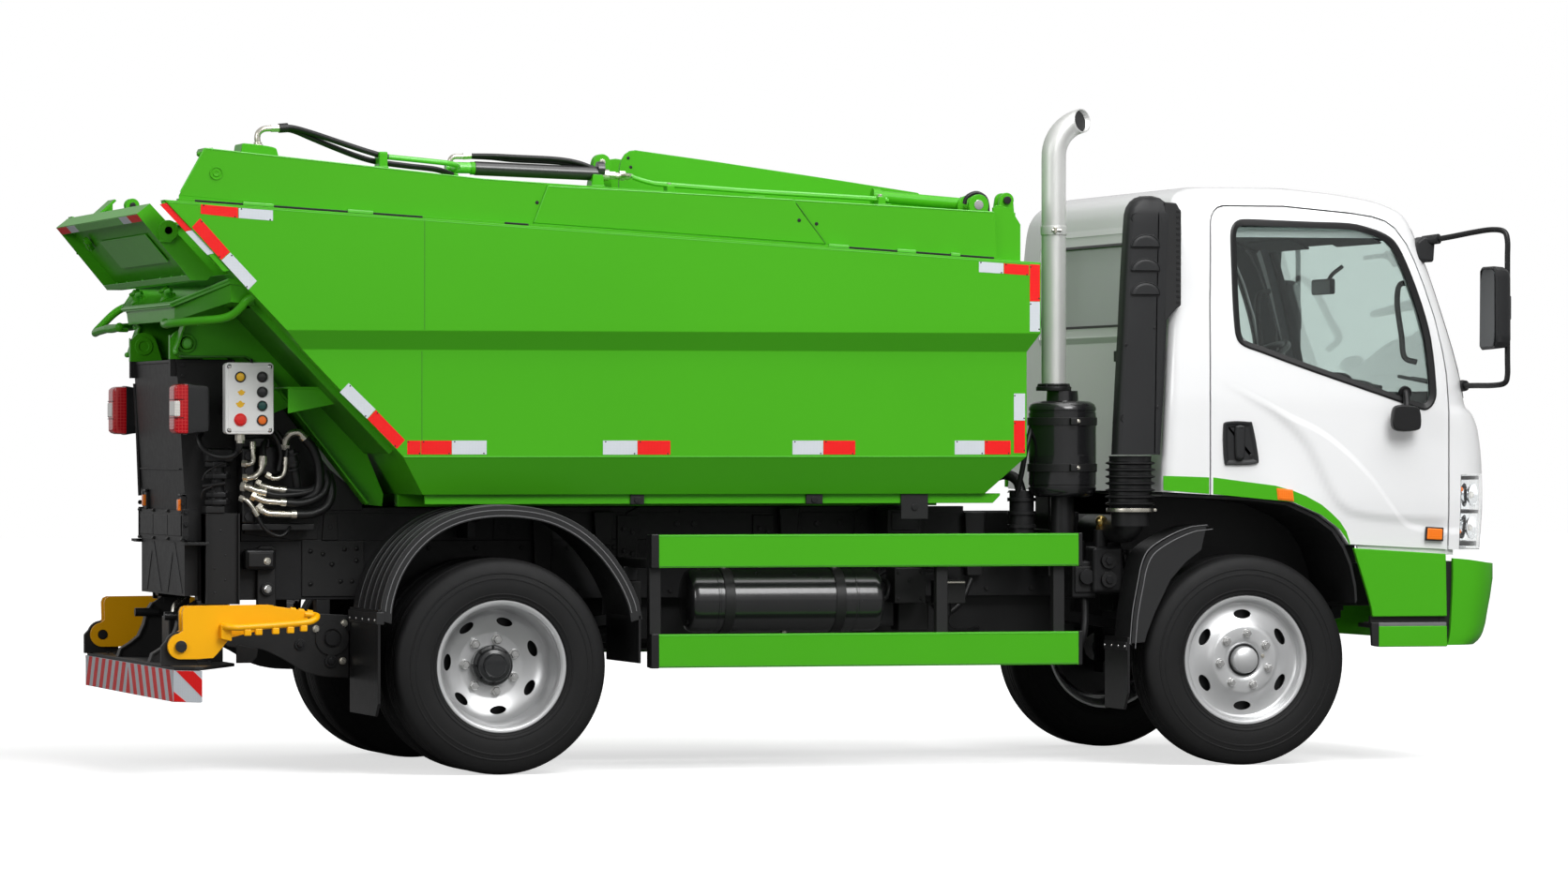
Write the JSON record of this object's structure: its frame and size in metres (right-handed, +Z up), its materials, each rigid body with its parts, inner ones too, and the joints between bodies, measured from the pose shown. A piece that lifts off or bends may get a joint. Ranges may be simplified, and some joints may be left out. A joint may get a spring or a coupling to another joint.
{
  "type": "satellite garbage truck",
  "caption": "Small high-tipping refuse truck: tilting forward-control cab with opening doors, covered tub with sloping rear, rear flap, fold-out arms, twin rear wheels and side guards.",
  "frame": {"origin": "on the ground under the middle of the truck's bounding box", "axes": "+X forwards along the truck, +Y to its left, +Z up"},
  "size_m": [5.204, 2.49, 2.4438],
  "materials": {
    "green_paint": "glossy bright green paint",
    "white_paint": "glossy white paint",
    "black_paint": "satin black paint",
    "yellow_paint": "semi-gloss yellow paint",
    "grey_box": "light grey moulded housing",
    "rubber": "matt black rubber",
    "tyre": "ribbed black tread",
    "rim": "silver-painted disc wheel",
    "stainless": "dull steel pipe",
    "black_plastic": "grained black plastic",
    "glass": "lightly green-tinted glass",
    "headlight": "clear lens",
    "red_lens": "red lens with a white centre",
    "trim": "dark cloth and trim"
  },
  "bodies": {
    "chassis": {"chassis_frame": "black_paint", "tipping_subframe": "black_paint", "rear_pedestal": "black_paint", "rear_bumper": "black_paint", "control_box": "grey_box", "tail_lamp_right": "red_lens", "tail_lamp_left": "red_lens", "hydraulic_valves": "black_paint", "hydraulic_hoses": "rubber", "rear_axle": "black_paint", "front_axle": "black_paint", "powertrain": "black_paint", "air_tank": "black_paint", "fuel_tank": "black_paint", "side_guard_right": "green_paint", "side_guard_left": "green_paint", "rear_mudguard_right": "black_plastic", "rear_mudguard_left": "black_plastic", "front_mudguard_right": "black_plastic", "front_mudguard_left": "black_plastic", "exhaust_silencer": "black_paint", "exhaust_stack": "stainless", "intake_duct": "rubber", "front_bumper": "green_paint"},
    "cab": {"cab_shell": "white_paint", "windscreen": "glass", "rear_window": "glass", "cab_interior": "trim", "headlight_right": "headlight", "headlight_left": "headlight", "snorkel": "black_plastic", "mirror_right": "black_plastic", "mirror_left": "black_plastic"},
    "steering_wheel": {"steering_wheel": "black_plastic"},
    "tub": {"tub_shell": "green_paint", "tub_cover": "green_paint", "cover_fittings": "green_paint", "pivot_frame": "green_paint"},
    "tailgate": {"tailgate": "green_paint"},
    "door_right": {"door_right": "white_paint", "door_glass_right": "glass"},
    "knuckle_right": {"steering_knuckle_right": "black_paint"},
    "wheel_front_right": {"front_tyre_right": "tyre", "front_rim_right": "rim"},
    "wheel_rear_right": {"rear_outer_tyre_right": "tyre", "rear_inner_tyre_right": "tyre", "rear_rims_right": "rim"},
    "lift_arm_right": {"lift_arm_right": "yellow_paint"},
    "door_left": {"door_left": "white_paint", "door_glass_left": "glass"},
    "knuckle_left": {"steering_knuckle_left": "black_paint"},
    "wheel_front_left": {"front_tyre_left": "tyre", "front_rim_left": "rim"},
    "wheel_rear_left": {"rear_outer_tyre_left": "tyre", "rear_inner_tyre_left": "tyre", "rear_rims_left": "rim"},
    "lift_arm_left": {"lift_arm_left": "yellow_paint"}
  },
  "joints": [
    {"name": "cab_tilt", "type": "hinge", "parent": "chassis", "child": "cab", "pos_m": [2.5, 0, 0.65], "axis": [0, 1, 0], "range_deg": [0, 42]},
    {"name": "tub_tip", "type": "hinge", "parent": "chassis", "child": "tub", "pos_m": [-2.35, 0, 1.559], "axis": [0, -1, 0], "range_deg": [0, 85]},
    {"name": "tailgate_swing", "type": "hinge", "parent": "tub", "child": "tailgate", "pos_m": [-2.491, 0, 1.956], "axis": [0, 1, 0], "range_deg": [0, 60]},
    {"name": "steering_wheel_turn", "type": "hinge", "parent": "cab", "child": "steering_wheel", "pos_m": [2.02, 0.48, 1.492], "axis": [-0.4695, 0, 0.8829], "range_deg": [-550, 550]},
    {"name": "door_right_swing", "type": "hinge", "parent": "cab", "child": "door_right", "pos_m": [2.342, -0.978, 1.4], "axis": [0, 0, 1], "range_deg": [0, 65]},
    {"name": "steer_right", "type": "hinge", "parent": "chassis", "child": "knuckle_right", "pos_m": [1.55, -0.7, 0.3915], "axis": [0, 0, 1], "range_deg": [-32, 32]},
    {"name": "wheel_front_right_spin", "type": "hinge", "parent": "knuckle_right", "child": "wheel_front_right", "pos_m": [1.55, -0.832, 0.3915], "axis": [0, 1, 0], "continuous": true},
    {"name": "wheel_rear_right_spin", "type": "hinge", "parent": "chassis", "child": "wheel_rear_right", "pos_m": [-1.29, -0.73, 0.3915], "axis": [0, 1, 0], "continuous": true},
    {"name": "lift_arm_right_fold", "type": "hinge", "parent": "chassis", "child": "lift_arm_right", "pos_m": [-2.44, -0.8, 0.47], "axis": [0, -1, 0], "range_deg": [0, 135]},
    {"name": "door_left_swing", "type": "hinge", "parent": "cab", "child": "door_left", "pos_m": [2.342, 0.978, 1.4], "axis": [0, 0, -1], "range_deg": [0, 65]},
    {"name": "steer_left", "type": "hinge", "parent": "chassis", "child": "knuckle_left", "pos_m": [1.55, 0.7, 0.3915], "axis": [0, 0, 1], "range_deg": [-32, 32]},
    {"name": "wheel_front_left_spin", "type": "hinge", "parent": "knuckle_left", "child": "wheel_front_left", "pos_m": [1.55, 0.832, 0.3915], "axis": [0, 1, 0], "continuous": true},
    {"name": "wheel_rear_left_spin", "type": "hinge", "parent": "chassis", "child": "wheel_rear_left", "pos_m": [-1.29, 0.73, 0.3915], "axis": [0, 1, 0], "continuous": true},
    {"name": "lift_arm_left_fold", "type": "hinge", "parent": "chassis", "child": "lift_arm_left", "pos_m": [-2.44, 0.8, 0.47], "axis": [0, -1, 0], "range_deg": [0, 135]}
  ],
  "couplings": [
    {"joint": "steer_left", "follows": "steer_right", "ratio": 1},
    {"joint": "steering_wheel_turn", "follows": "steer_right", "ratio": 17}
  ]
}
